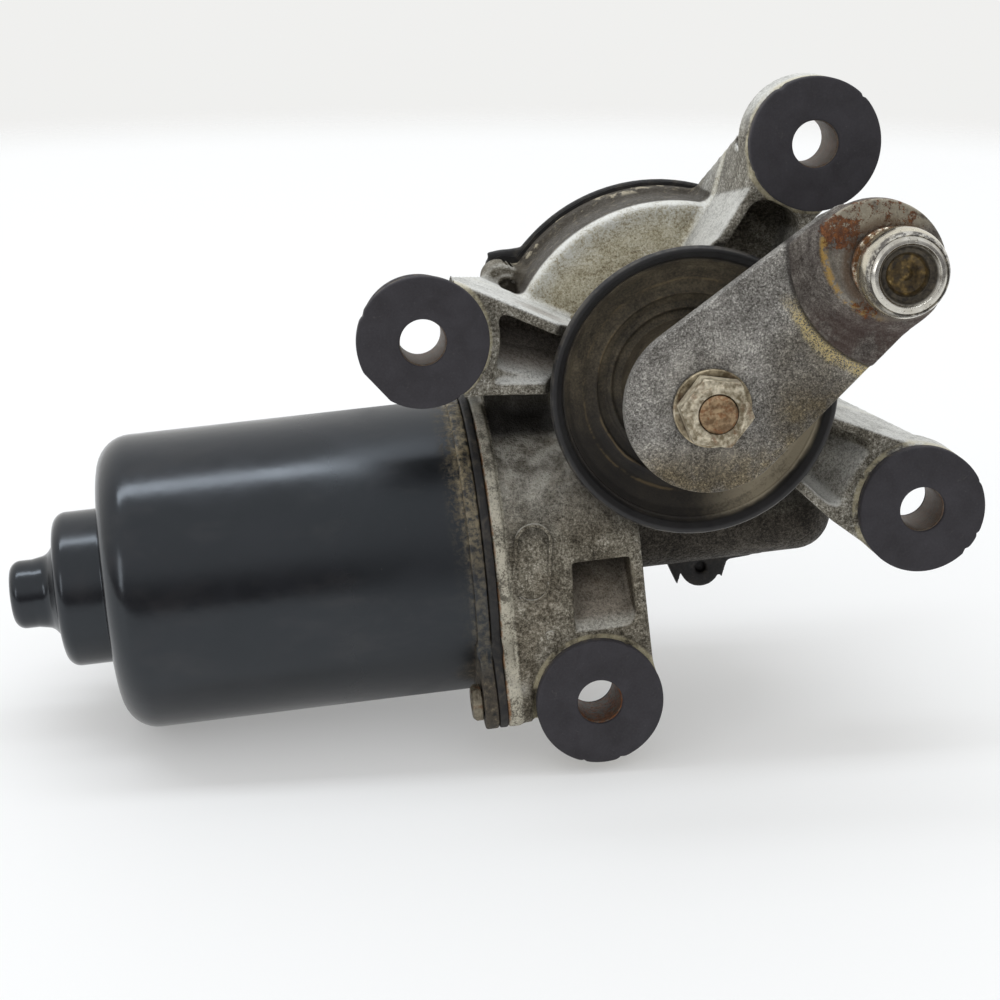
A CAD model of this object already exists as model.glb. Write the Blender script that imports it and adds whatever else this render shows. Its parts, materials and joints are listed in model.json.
# The looks of the wiper drive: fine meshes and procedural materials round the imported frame.
#
# Shapes are worked out in millimetres in the frame's own axes and stored in metres. Castings and pressed parts
# come from distance fields, which give them true fillets; turned parts come from rounded profiles.

import json
import math

import bmesh
import bpy
import numpy as np
import openvdb
from mathutils import Matrix, Vector


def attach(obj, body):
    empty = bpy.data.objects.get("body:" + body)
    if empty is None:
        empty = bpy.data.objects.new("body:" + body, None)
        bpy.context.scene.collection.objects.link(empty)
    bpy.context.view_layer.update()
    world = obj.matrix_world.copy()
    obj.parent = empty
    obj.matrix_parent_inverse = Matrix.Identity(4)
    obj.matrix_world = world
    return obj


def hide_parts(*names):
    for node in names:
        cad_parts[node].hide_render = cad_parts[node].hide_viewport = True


MM = 0.001
TURN = 2 * math.pi

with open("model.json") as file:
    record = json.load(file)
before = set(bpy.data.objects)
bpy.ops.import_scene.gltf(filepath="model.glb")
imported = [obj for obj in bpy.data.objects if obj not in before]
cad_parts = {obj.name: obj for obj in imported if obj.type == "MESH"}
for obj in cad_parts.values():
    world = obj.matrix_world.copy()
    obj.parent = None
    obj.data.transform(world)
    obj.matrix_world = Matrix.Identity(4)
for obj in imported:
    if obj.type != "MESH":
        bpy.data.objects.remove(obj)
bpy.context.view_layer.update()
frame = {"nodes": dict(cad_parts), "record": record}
scene = bpy.context.scene

# ---- layout, as in the CAD

MOTOR = (34.35, -35.64)  # y and z of the motor's axis
LUGS = [(MOTOR[0] - 27.6, MOTOR[1] - 27.6), (MOTOR[0] + 27.6, MOTOR[1] + 27.6)]
LUG_R = 5.95
FEET = {"left": (-54.3, 16), "top": (28.05, 47.4), "right": (46.5, -30.8), "bottom": (-24.7, -64.3)}
BALL = (35.7, 25.2)  # x and z of the ball stud
BALL_R = 8.8
BALL_Y = -31.5
CRANK_TIP = (33.25, 24.07)
CRANK_LEDGE = (42.1, 27.8)
CRANK_PLATEAU = (38.4, 29.3)
CRANK_FRONT = -17.0
CRANK_REAR = -13.8
COVER_RIBS = 8
COVER_SCREWS = [(-32.3, 21.9), (20, 34), (33, -22), (-31.4, -23.4)]
HARNESS_LUG = (7, -51.5)

# ---- camera

CAMERA_AT = (-82.77, -449.13, 98.33)
CAMERA_RIGHT = (0.98943, -0.11349, -0.09027)
CAMERA_DOWN = (-0.11541, -0.23934, -0.96405)
CAMERA_FORWARD = (0.08781, 0.96428, -0.2499)
FILM = 36
FOCAL_LENGTH = 81.9684

lens = bpy.data.cameras.new("camera")
camera = bpy.data.objects.new("camera", lens)
scene.collection.objects.link(camera)
lens.sensor_width = FILM
lens.lens = FOCAL_LENGTH
lens.clip_start = 0.02
lens.clip_end = 30
columns = [CAMERA_RIGHT, [-v for v in CAMERA_DOWN], [-v for v in CAMERA_FORWARD]]
camera.matrix_world = Matrix(
    [[columns[0][i], columns[1][i], columns[2][i], CAMERA_AT[i] * MM] for i in range(3)] + [[0, 0, 0, 1]]
)
scene.camera = camera

# ---- distance fields

FAR = 20.0  # the distance that empty space starts with
MARGIN = 4.0  # how far round a shape its distance is worked out


def soften(a, b, radius=0.0):
    """The overlap of two solids, with a rounded outer edge."""
    if radius <= 0:
        return np.maximum(a, b)
    u = np.maximum(radius + a, 0)
    v = np.maximum(radius + b, 0)
    return np.minimum(-radius, np.maximum(a, b)) + np.sqrt(u * u + v * v)


def fuse(a, b, radius=0.0):
    """Two solids joined, with a fillet in the corner between them."""
    return -soften(-a, -b, radius)


def polygon_distance(a, b, corners):
    shape = np.broadcast(a, b).shape
    best = np.full(shape, 1e9, np.float32)
    inside = np.zeros(shape, bool)
    for (ax, ay), (bx, by) in zip(corners, [*corners[1:], corners[0]]):
        ex, ey = bx - ax, by - ay
        wx, wy = a - ax, b - ay
        t = np.clip((wx * ex + wy * ey) / max(ex * ex + ey * ey, 1e-12), 0, 1)
        best = np.minimum(best, (wx - ex * t) ** 2 + (wy - ey * t) ** 2)
        if abs(ey) > 1e-9:
            inside ^= ((ay > b) != (by > b)) & (a < ax + (b - ay) * ex / ey)
    distance = np.sqrt(best)
    return np.where(inside, -distance, distance).astype(np.float32)


def around(corners):
    a, b = zip(*corners)
    return min(a), max(a), min(b), max(b)


def prism(corners, y0, y1, edge=0.0, back=None):
    """An X-Z outline from y0 to y1, which may change corner by corner into a back outline on the way."""

    def distance(x, y, z):
        if back:
            shares = np.clip((y.ravel() - y0) / (y1 - y0), 0, 1)
            front, rear = np.array(corners, float), np.array(back, float)
            slices = [polygon_distance(x, z, (front + (rear - front) * t).tolist()) for t in shares]
            side = np.concatenate(slices, 1)
        else:
            side = polygon_distance(x, z, corners)
        return soften(side, np.maximum(y0 - y, y - y1), edge)

    x0, x1, z0, z1 = around([*corners, *(back or [])])
    return distance, (x0, y0, z0), (x1, y1, z1)


def scoop(corners, floor, depth, edge, wall=None):
    """A pocket sunk from the front, with its floor at y = floor(x, z). A wall (centre, radius, fillet) stands in it."""

    def distance(x, y, z):
        side = polygon_distance(x, z, corners)
        if wall:
            (cx, cz), radius, fillet = wall
            sunk = soften(side, (y - floor(x, z)) * 0.85, edge)
            return soften(sunk, radius - np.hypot(x - cx, z - cz), fillet)
        return soften(side, (y - floor(x, z)) * 0.85, edge)

    x0, x1, z0, z1 = around(corners)
    return distance, (x0, -2.0, z0), (x1, depth, z1)


def overlap(a, b, edge=0.0):
    """The part that two shapes share."""

    def distance(x, y, z):
        return soften(a[0](x, y, z), b[0](x, y, z), edge)

    low = tuple(max(p, q) for p, q in zip(a[1], b[1]))
    high = tuple(min(p, q) for p, q in zip(a[2], b[2]))
    return distance, low, high


def prism_x(corners, x0, x1, edge=0.0):
    """A Y-Z outline from x0 to x1."""

    def distance(x, y, z):
        return soften(polygon_distance(y, z, corners), np.maximum(x0 - x, x - x1), edge)

    y0, y1, z0, z1 = around(corners)
    return distance, (x0, y0, z0), (x1, y1, z1)


def rod_y(radius, y0, y1, centre, edge=0.0):
    cx, cz = centre

    def distance(x, y, z):
        return soften(np.hypot(x - cx, z - cz) - radius, np.maximum(y0 - y, y - y1), edge)

    return distance, (cx - radius, y0, cz - radius), (cx + radius, y1, cz + radius)


def rod_x(radius, x0, x1, centre=MOTOR, edge=0.0):
    cy, cz = centre

    def distance(x, y, z):
        return soften(np.hypot(y - cy, z - cz) - radius, np.maximum(x0 - x, x - x1), edge)

    return distance, (x0, cy - radius, cz - radius), (x1, cy + radius, cz + radius)


def block(low, high, edge=0.0):
    def distance(x, y, z):
        sides = [np.maximum(lo - a, a - hi) for a, lo, hi in zip((x, y, z), low, high)]
        return soften(soften(sides[0], sides[2], edge), sides[1], edge)

    return distance, low, high


def turned(profile, axis="y", centre=(0.0, 0.0)):
    """A profile of (distance along the axis, radius) turned about an axis parallel to Y or X."""
    along = [a for a, _ in profile]
    widest = max(r for _, r in profile)
    table_step = 0.2

    def distance(x, y, z):
        if axis == "y":
            line, radius = y, np.hypot(x - centre[0], z - centre[1])
        else:
            line, radius = x, np.hypot(y - centre[0], z - centre[1])
        radii = np.arange(0, float(radius.max()) + 2 * table_step, table_step, dtype=np.float32)
        values = np.unique(line)
        table = polygon_distance(values[None, :], radii[:, None], profile)
        place = radius / table_step
        low = place.astype(int)
        share = (place - low).astype(np.float32)
        column = np.searchsorted(values, line)
        return table[low, column] * (1 - share) + table[low + 1, column] * share

    if axis == "y":
        low = (centre[0] - widest, min(along), centre[1] - widest)
        high = (centre[0] + widest, max(along), centre[1] + widest)
    else:
        low = (min(along), centre[0] - widest, centre[1] - widest)
        high = (max(along), centre[0] + widest, centre[1] + widest)
    return distance, low, high


def strap(a, ar, b, br, steps=24):
    """The outline of a strap that wraps two circles."""
    heading = math.atan2(b[1] - a[1], b[0] - a[0])
    lean = math.acos((ar - br) / math.dist(a, b))
    points = []
    for centre, radius, t0, t1 in (
        (a, ar, heading + lean, heading - lean + TURN),
        (b, br, heading - lean, heading + lean),
    ):
        for i in range(steps + 1):
            t = t0 + (t1 - t0) * i / steps
            points.append((centre[0] + radius * math.cos(t), centre[1] + radius * math.sin(t)))
    return points


class Field:
    """A block of space that holds the distance to a growing solid, negative inside."""

    def __init__(self, low, high, step):
        self.low = np.array(low, float)
        self.step = step
        self.axes = [np.arange(a, b, step, dtype=np.float32) for a, b in zip(low, high)]
        self.d = np.full([len(a) for a in self.axes], FAR, np.float32)

    def _local(self, shape):
        distance, low, high = shape
        cut = tuple(
            slice(np.searchsorted(a, lo - MARGIN), np.searchsorted(a, hi + MARGIN))
            for a, lo, hi in zip(self.axes, low, high)
        )
        x, y, z = (a[s] for a, s in zip(self.axes, cut))
        return cut, distance(x[:, None, None], y[None, :, None], z[None, None, :])

    def add(self, shape, fillet=0.0):
        cut, other = self._local(shape)
        self.d[cut] = fuse(self.d[cut], other, fillet)

    def cut(self, shape, edge=0.0):
        cut, other = self._local(shape)
        self.d[cut] = soften(self.d[cut], -other, edge)

    def _sample(self, points):
        place = (points - self.low) / self.step
        top = np.array(self.d.shape) - 2
        low = np.clip(np.floor(place).astype(int), 0, top)
        fx, fy, fz = np.clip(place - low, 0, 1).T
        total = 0.0
        for i, wx in ((0, 1 - fx), (1, fx)):
            for j, wy in ((0, 1 - fy), (1, fy)):
                for k, wz in ((0, 1 - fz), (1, fz)):
                    total = total + self.d[low[:, 0] + i, low[:, 1] + j, low[:, 2] + k] * wx * wy * wz
        return total

    def surface(self, name, thin=1.0):
        """The solid's skin as an object. Points slide onto the true surface, and thin is the share of faces kept."""
        band = 3 * self.step
        grid = openvdb.FloatGrid(band)
        grid.copyFromArray(np.clip(self.d, -band, band))
        points, quads = grid.convertToQuads()
        points = points.astype(float) * self.step + self.low
        h = self.step * 0.5
        for _ in range(2):
            offsets = np.eye(3) * h
            slope = np.stack([self._sample(points + o) - self._sample(points - o) for o in offsets], 1) / (2 * h)
            size = np.maximum((slope**2).sum(1), 0.25)
            move = slope * (self._sample(points) / size)[:, None]
            points -= np.clip(move, -h, h)
        return thinned(mesh_object(name, points, outward(points, quads)), thin)


def outward(points, faces):
    """Faces turned so that they look out of the solid."""
    a, b, c, d = (points[faces[:, i]] for i in range(4))
    volume = (np.cross(b - a, c - a) * a).sum() + (np.cross(c - a, d - a) * a).sum()
    return faces if volume > 0 else faces[:, ::-1]


def mesh_object(name, points, faces, sharp=None):
    mesh = bpy.data.meshes.new(name)
    mesh.from_pydata((np.asarray(points, float) * MM).tolist(), [], np.asarray(faces, dtype=object).tolist())
    mesh.validate()
    mesh.shade_smooth()
    if sharp is not None:
        mesh.set_sharp_from_angle(angle=math.radians(sharp))
    made = bpy.data.objects.new(name, mesh)
    scene.collection.objects.link(made)
    return made


def settle(made):
    """Applies the object's modifiers."""
    depsgraph = bpy.context.evaluated_depsgraph_get()
    mesh = bpy.data.meshes.new_from_object(made.evaluated_get(depsgraph))
    made.modifiers.clear()
    old = made.data
    made.data = mesh
    bpy.data.meshes.remove(old)
    mesh.name = made.name
    return made


def thinned(made, share):
    if share < 1:
        thin = made.modifiers.new("thin", "DECIMATE")
        thin.ratio = share
        settle(made)
        made.data.shade_smooth()
    return made


# ---- turned pieces

STRAIGHT = 0.02  # a corner that bends by less than twice this angle stays as it is

def rounded(corners, steps=5):
    """A profile of (along, radius, corner radius) with each corner turned into an arc."""
    points = []
    for i, (a, r, radius) in enumerate(corners):
        here = np.array([a, r], float)
        before = np.array(corners[i - 1][:2], float) - here
        after = np.array(corners[(i + 1) % len(corners)][:2], float) - here
        lb, la = np.linalg.norm(before), np.linalg.norm(after)
        if radius <= 0 or min(lb, la) < 1e-9:
            points.append((a, r))
            continue
        before, after = before / lb, after / la
        half = math.acos(np.clip(before @ after, -1, 1)) / 2
        if half > math.pi / 2 - STRAIGHT:
            points.append((a, r))
            continue
        reach = min(radius / math.tan(half), lb * 0.49, la * 0.49)
        size = reach * math.tan(half)
        middle = here + (before + after) / np.linalg.norm(before + after) * size / math.sin(half)
        (u0, v0), (u1, v1) = here + before * reach - middle, here + after * reach - middle
        t0 = math.atan2(v0, u0)
        sweep = (math.atan2(v1, u1) - t0 + math.pi) % TURN - math.pi
        for t in [t0 + sweep * k / steps for k in range(steps + 1)]:
            points.append((middle[0] + size * math.cos(t), middle[1] + size * math.sin(t)))
    return points


def lathe(profile, segments, axis="y", centre=(0.0, 0.0), shape=None):
    """Points and faces of a closed profile of (along, radius). shape(along, radius, angle) may bend them."""
    profile = np.array(profile, float)
    after = np.roll(profile, -1, 0)
    if (profile[:, 0] * after[:, 1] - after[:, 0] * profile[:, 1]).sum() < 0:
        profile = profile[::-1]
    n = len(profile)
    along, angle = np.meshgrid(profile[:, 0], np.arange(segments) * TURN / segments, indexing="ij")
    radius = np.repeat(profile[:, 1:], segments, 1)
    if shape:
        along, radius = shape(along, radius, angle)
    u, v = centre[0] + radius * np.cos(angle), centre[1] + radius * np.sin(angle)
    points = np.stack([u, along, v] if axis == "y" else [along, u, v], -1).reshape(-1, 3)

    # quads between neighbouring rings, and triangles where a ring shrinks to a point on the axis
    on_axis = profile[:, 1] < 1e-6
    index = np.arange(n * segments).reshape(n, segments)
    index[on_axis] = index[on_axis][:, :1]
    beyond = np.roll(index, -1, 1)
    faces = []
    for i in range(n):
        j = (i + 1) % n
        if on_axis[i] and on_axis[j]:
            continue
        for ring in np.stack([index[i], index[j], beyond[j], beyond[i]], 1).tolist():
            face = list(dict.fromkeys(ring))
            faces.append(face[::-1] if axis == "y" else face)
    used, corners = np.unique(np.concatenate(faces), return_inverse=True)
    ends = np.cumsum([len(face) for face in faces])[:-1]
    return points[used], [face.tolist() for face in np.split(corners, ends)]


def turned_object(name, profile, segments, axis="y", centre=(0.0, 0.0), shape=None, sharp=32):
    points, faces = lathe(profile, segments, axis, centre, shape)
    made = mesh_object(name, points, faces, sharp)
    face_out(made)
    return made


def face_out(made):
    work = bmesh.new()
    work.from_mesh(made.data)
    if work.calc_volume(signed=True) < 0:
        bmesh.ops.reverse_faces(work, faces=work.faces)
        work.to_mesh(made.data)
    work.free()


def joined(name, objects):
    """One object from several."""
    work = bmesh.new()
    for part in objects:
        work.from_mesh(part.data)
    mesh = bpy.data.meshes.new(name)
    work.to_mesh(mesh)
    work.free()
    for part in objects:
        bpy.data.objects.remove(part)
    made = bpy.data.objects.new(name, mesh)
    scene.collection.objects.link(made)
    return made


# ---- procedural materials


def srgb(red, green, blue):
    """A linear colour from the usual 0 to 255 values."""
    line = []
    for value in (red, green, blue):
        v = value / 255
        line.append(v / 12.92 if v <= 0.04045 else ((v + 0.055) / 1.055) ** 2.4)
    return (*line, 1.0)


class Nodes:
    """A node tree under construction."""

    def __init__(self, tree):
        self.tree = tree

    def feed(self, socket, value):
        if isinstance(value, bpy.types.NodeSocket):
            self.tree.links.new(value, socket)
        else:
            socket.default_value = value

    def node(self, kind, *values, **named):
        """A new node. Values feed its first inputs, names with a capital are inputs too, the others are settings."""
        made = self.tree.nodes.new("ShaderNode" + kind)
        for key, value in named.items():
            if key[0].isupper():
                self.feed(made.inputs[key], value)
            else:
                setattr(made, key, value)
        for socket, value in zip(made.inputs, values):
            self.feed(socket, value)
        return made

    def split(self, vector):
        return self.node("SeparateXYZ", vector).outputs

    def vector(self, operation, a, b):
        made = self.node("VectorMath", a, b, operation=operation)
        return made.outputs["Value" if operation == "DISTANCE" else "Vector"]

    def calc(self, operation, a, b=0.0, c=0.0, clamp=False):
        return self.node("Math", a, b, c, operation=operation, use_clamp=clamp).outputs[0]

    def span(self, value, a, b, low=0.0, high=1.0):
        """The value taken from a..b to low..high, eased at both ends."""
        return self.node("MapRange", value, a, b, low, high, interpolation_type="SMOOTHSTEP").outputs[0]

    def mix(self, share, a, b, blend="MIX"):
        made = self.node("Mix", share, data_type="RGBA", blend_type=blend)
        for socket, value in zip([i for i in made.inputs if i.type == "RGBA"], (a, b)):
            self.feed(socket, srgb(*value) if isinstance(value, tuple) and len(value) == 3 else value)
        return next(o for o in made.outputs if o.type == "RGBA")


class Finish(Nodes):
    """A material in layers. Sizes and places are in millimetres, and colours are triples from 0 to 255."""

    def __init__(self, name, **shader):
        self.material = bpy.data.materials.new(name)
        self.material.use_nodes = True
        super().__init__(self.material.node_tree)
        self.shader = self.tree.nodes["Principled BSDF"]
        for key, value in shader.items():
            self.shader.inputs[key.replace("_", " ")].default_value = value
        texture = self.node("TexCoord").outputs["Object"]
        self.place = self.node("VectorMath", texture, operation="SCALE", Scale=1 / MM).outputs["Vector"]
        self.x, self.y, self.z = self.split(self.place)

    # --- masks and patterns

    def noise(self, size, detail=3.0, roughness=0.55, distortion=0.0, stretch=None, seed=0.0):
        place = self.vector("MULTIPLY", self.place, stretch) if stretch else self.place
        if seed:
            place = self.vector("ADD", place, (seed, seed * 1.7, -seed))
        made = self.node("TexNoise", place, Scale=1 / size, Detail=detail, Roughness=roughness, Distortion=distortion)
        return made.outputs["Fac"]

    def layers(self, *parts):
        """Noises added up round 0.5, each with its own strength."""
        total = 0.5 - 0.5 * sum(strength for _, strength in parts)
        for value, strength in parts:
            total = self.calc("MULTIPLY_ADD", value, strength, total)
        return total

    def streaks(self, radius, size, bend):
        """Noise drawn out along rings of equal radius."""
        flat = self.node("CombineXYZ", radius, self.both(self.x, bend), self.both(self.z, bend)).outputs[0]
        return self.node("TexNoise", flat, Scale=1 / size, Detail=3).outputs["Fac"]

    def wavy(self, value, size, amount, seed=0.0):
        """The value, pushed to and fro by half the amount."""
        low = self.calc("SUBTRACT", value, amount / 2)
        return self.calc("MULTIPLY_ADD", self.noise(size, 3, seed=seed), amount, low)

    def near(self, centre, radius, soft):
        """1 within the radius of a point, falling to 0 over the soft distance."""
        return self.span(self.vector("DISTANCE", self.place, centre), radius, radius + soft, 1.0, 0.0)

    def off_axis(self, centre=(0, 0)):
        """The distance from a line along Y through (x, z)."""
        flat = self.vector("MULTIPLY", self.place, (1.0, 0.0, 1.0))
        return self.vector("DISTANCE", flat, (centre[0], 0, centre[1]))

    def both(self, *masks):
        total = masks[0]
        for mask in masks[1:]:
            total = self.calc("MULTIPLY", total, mask)
        return total

    def either(self, a, b):
        return self.calc("MAXIMUM", a, b)

    def band(self, value, a, b, c, d):
        """1 from b to c, fading out towards a and d."""
        return self.both(self.span(value, a, b), self.span(value, d, c))

    def up(self):
        """How far the surface looks up, from -1 to 1."""
        return self.split(self.node("NewGeometry").outputs["Normal"])[2]

    def edges(self, low, high):
        """1 on outer edges."""
        return self.span(self.node("NewGeometry").outputs["Pointiness"], low, high)

    def corners(self, distance, low, high):
        """1 in deep corners, 0 in the open."""
        made = self.node("AmbientOcclusion", samples=6, Distance=distance * MM)
        return self.span(made.outputs["AO"], low, high, 1.0, 0.0)

    # --- colour and shader

    def ramp(self, value, *stops):
        """A colour for the value, from stops of (place, red, green, blue)."""
        made = self.node("ValToRGB", value)
        line = made.color_ramp.elements
        while len(line) < len(stops):
            line.new(0.5)
        for element, (place, *colour) in zip(line, stops):
            element.position = place
            element.color = srgb(*colour)
        return made.outputs[0]

    def coat(self, paint, *masks, blend="MIX"):
        """Lays a colour over what is there, as far as the masks multiplied together let it through."""
        self.colour = self.mix(self.both(*masks), self.colour, paint, blend)

    def tint(self, paint, *masks):
        """Stains what is there."""
        self.coat(paint, *masks, blend="MULTIPLY")

    def lifted(self, base, mask, amount):
        """The base raised by an amount where the mask is, kept within 0 and 1."""
        return self.calc("MULTIPLY_ADD", mask, amount, base, clamp=True)

    def done(self, roughness, *bumps, metallic=None):
        """Wires up the shader. Each bump is (height, depth in millimetres)."""
        self.feed(self.shader.inputs["Base Color"], self.colour)
        self.feed(self.shader.inputs["Roughness"], roughness)
        if metallic is not None:
            self.feed(self.shader.inputs["Metallic"], metallic)
        below = {}
        for height, depth in bumps:
            below = {"Normal": self.node("Bump", Height=height, Distance=depth * MM, **below).outputs[0]}
        self.feed(self.shader.inputs["Normal"], below["Normal"])
        return self.material


def casting():
    f = Finish("casting", Metallic=0.2, Specular_IOR_Level=0.35)
    speck = f.noise(0.62, 3, 0.65)
    fine = f.noise(0.3, 2, 0.6, seed=3)
    blotch = f.noise(4.2, 4, 0.6, 0.2)
    wide = f.noise(19, 3, 0.55, 0.3, seed=9)
    tone = f.layers((speck, 1.15), (fine, 0.9), (blotch, 0.75), (wide, 0.6))
    f.colour = f.ramp(
        tone, (0.14, 58, 54, 46), (0.36, 98, 93, 82), (0.52, 128, 123, 111), (0.7, 166, 162, 150), (0.9, 214, 211, 203)
    )
    # the case's own face is sandy, its side wall caked dark, and the lip behind that flaking pale
    upper = f.span(f.z, -26, -12)
    radius = f.off_axis()
    face = f.both(f.band(f.y, 23.5, 25.2, 26.6, 28.5), upper)
    sandy = f.ramp(tone, (0.14, 134, 123, 98), (0.38, 184, 174, 146), (0.58, 218, 211, 185), (0.86, 244, 240, 226))
    f.coat(sandy, face, 0.9)
    glow = f.both(face, f.span(radius, 29, 34), f.span(f.z, 10, 22))
    f.coat((210, 214, 216), glow, f.span(tone, 0.3, 0.65, 0.1, 0.5))
    # upward faces are bleached
    top = f.both(f.span(f.up(), 0.15, 0.8), f.span(f.y, 40, 34))
    f.coat((230, 230, 225), top, f.span(tone, 0.2, 0.6, 0.5, 0.9))
    wall = f.both(f.band(radius, 34.6, 35.4, 37.8, 38.6), f.band(f.y, 26.8, 29.0, 46, 47), upper)
    flakes = f.span(f.noise(2.6, 4, 0.7, 0.4, seed=4), 0.56, 0.64)
    lip = f.span(f.y, 41.4, 42.2)
    caked = f.mix(flakes, (62, 56, 47), (100, 92, 77))
    caked = f.mix(f.both(lip, f.span(f.noise(5, 4, 0.65, seed=14), 0.56, 0.62)), caked, (164, 155, 134))
    f.coat(caked, wall, 0.95)
    boss = f.near((-33.5, 40, 20), 5, 3)
    f.coat((92, 84, 68), boss, 0.45)
    tunnel = f.both(f.span(f.x, -13, -10), f.span(f.z, -20, -28), f.span(f.y, 20, 24))
    f.tint((96, 92, 84), tunnel, 0.8)
    # road dirt on the motor end: tan over the column, black in the hollow below the left arm
    motor = f.both(f.span(f.x, -8, -16), f.span(f.z, 0, -8))
    stain = f.both(motor, f.span(f.noise(11, 4, 0.6, 0.4, seed=31), 0.46, 0.62))
    f.tint((150, 134, 106), stain, 0.4)
    f.tint((208, 198, 176), motor, 0.4)
    shade = f.both(motor, f.span(f.z, -28, -10), f.span(f.y, 30, 20), f.span(blotch, 0.35, 0.62, 1.0, 0.35))
    f.tint((136, 131, 124), shade, 0.95)
    soot = f.both(motor, f.span(f.noise(6, 5, 0.7, 0.2, seed=51), 0.52, 0.62), f.span(speck, 0.35, 0.6, 1.0, 0.4))
    f.tint((112, 104, 92), soot, 0.55)
    hollow = f.both(f.band(f.x, -41.4, -40.8, -28, -24), f.band(f.z, -11, -8, 3.2, 4.0), f.span(f.y, 12, 18))
    f.coat((40, 38, 37), hollow, 0.92)
    cove = f.both(f.near((-33, 12, 10), 7, 5), f.span(f.y, 4.5, 9))
    f.tint((158, 142, 130), cove, 0.7)
    pocket = f.both(f.span(f.x, -28.6, -27.4), f.band(f.z, -52, -48, -36, -33), f.span(f.y, 3.6, 6))
    f.tint((142, 120, 96), pocket, 0.6)
    strip = f.both(f.span(f.x, -40.6, -41.2), f.span(f.z, 2, -2), f.span(blotch, 0.3, 0.5, 0.5, 1.0))
    f.coat((204, 198, 180), strip, f.span(tone, 0.3, 0.6, 0.25, 0.85))
    grime = f.both(f.corners(7, 0.3, 0.95), f.span(blotch, 0.25, 0.6, 0.6, 0.95))
    f.coat((44, 40, 34), grime, 0.7)
    # pale dust in the corner round each bush, and a thin rust line beside the motor flange
    rings = [f.off_axis(centre) for centre in FEET.values()]
    nearest = rings[0]
    for ring in rings[1:]:
        nearest = f.calc("MINIMUM", nearest, ring)
    cuff = f.both(f.band(nearest, 12.8, 13.2, 14.0, 14.6), f.span(f.y, 7, 3), f.span(blotch, 0.35, 0.55))
    f.coat((206, 196, 162), cuff, 0.55)
    line = f.both(f.span(f.x, -43.4, -43.8), f.span(f.z, -4, -8), f.span(f.noise(3, 4, 0.7, seed=14), 0.42, 0.6))
    f.coat((150, 100, 54), line, 0.7)
    f.coat((206, 203, 194), f.edges(0.54, 0.66), f.span(fine, 0.35, 0.6, 0.0, 0.6))
    rough = f.span(tone, 0.2, 0.8, 0.8, 0.5)
    return f.done(rough, (blotch, 0.25), (speck, 0.26), (fine, 0.1))


def can_paint():
    f = Finish("can_paint", Specular_IOR_Level=0.6, Specular_Tint=(0.84, 0.92, 1.0, 1))
    cloud = f.noise(16, 4, 0.6, 0.4)
    peel = f.noise(2.2, 2, 0.4)
    patch = f.span(f.noise(15, 2, 0.5, seed=41), 0.4, 0.7)
    dots = f.span(f.layers((f.noise(0.42, 2, 0.6, seed=44), 1.0), (patch, 0.05)), 0.735, 0.79)
    haze = f.span(f.noise(9, 4, 0.6, 0.2, stretch=(0.5, 1, 1), seed=12), 0.5, 0.75)
    f.colour = f.ramp(cloud, (0.35, 9, 9, 11), (0.7, 19, 18, 21))
    f.coat((110, 106, 100), dots, 0.35)
    f.coat((108, 100, 96), haze, 0.07)
    # dust thickens over the last millimetres before the flange, most of all high up
    dust = f.both(
        f.span(f.x, -53.5, -49.8), f.span(f.noise(1.2, 4, 0.75, seed=7), 0.42, 0.66), f.span(f.z, -36, -14, 0.12, 1.0)
    )
    f.coat((136, 122, 94), dust, 0.45)
    seat = f.both(f.span(f.x, -50.4, -49.2), f.span(f.noise(1.5, 4, 0.7, seed=3), 0.38, 0.68))
    tan = f.both(f.span(f.z, -36, -14, 0.3, 0.9), f.span(f.y, 24, 40, 1.0, 0.5))
    f.coat((150, 136, 106), seat, tan)
    lug = f.near((-48, *LUGS[0]), 6.5, 3.5)
    crust = f.ramp(f.noise(1.1, 4, 0.75), (0.3, 34, 29, 24), (0.55, 76, 67, 53), (0.75, 128, 116, 94))
    f.coat(crust, lug, 0.9)
    dirt = f.either(dust, lug)
    dull = f.lifted(f.span(cloud, 0.3, 0.75, 0.17, 0.25), f.span(f.x, -88, -58), 0.2)
    rough = f.lifted(dull, dirt, 0.4)
    return f.done(rough, (peel, 0.02), (dirt, 0.03))


def rubber():
    f = Finish("rubber", Specular_IOR_Level=0.3)
    cloud = f.noise(6, 4, 0.6, 0.4)
    grit = f.noise(0.5, 3, 0.7)
    f.colour = f.ramp(cloud, (0.3, 54, 52, 55), (0.7, 64, 62, 66))
    f.coat((112, 110, 108), f.span(grit, 0.64, 0.76), 0.3)
    scuff = f.both(f.span(f.noise(3.4, 5, 0.75, 1.0, seed=19), 0.62, 0.72), f.span(grit, 0.4, 0.6))
    f.coat((104, 100, 96), scuff, 0.3)
    side = f.span(f.y, 0.4, 2.0)
    f.coat((108, 98, 82), side, f.span(f.noise(2, 3), 0.45, 0.65, 0.0, 0.5))
    return f.done(f.span(grit, 0.3, 0.7, 0.9, 0.72), (cloud, 0.1), (grit, 0.05))


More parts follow.
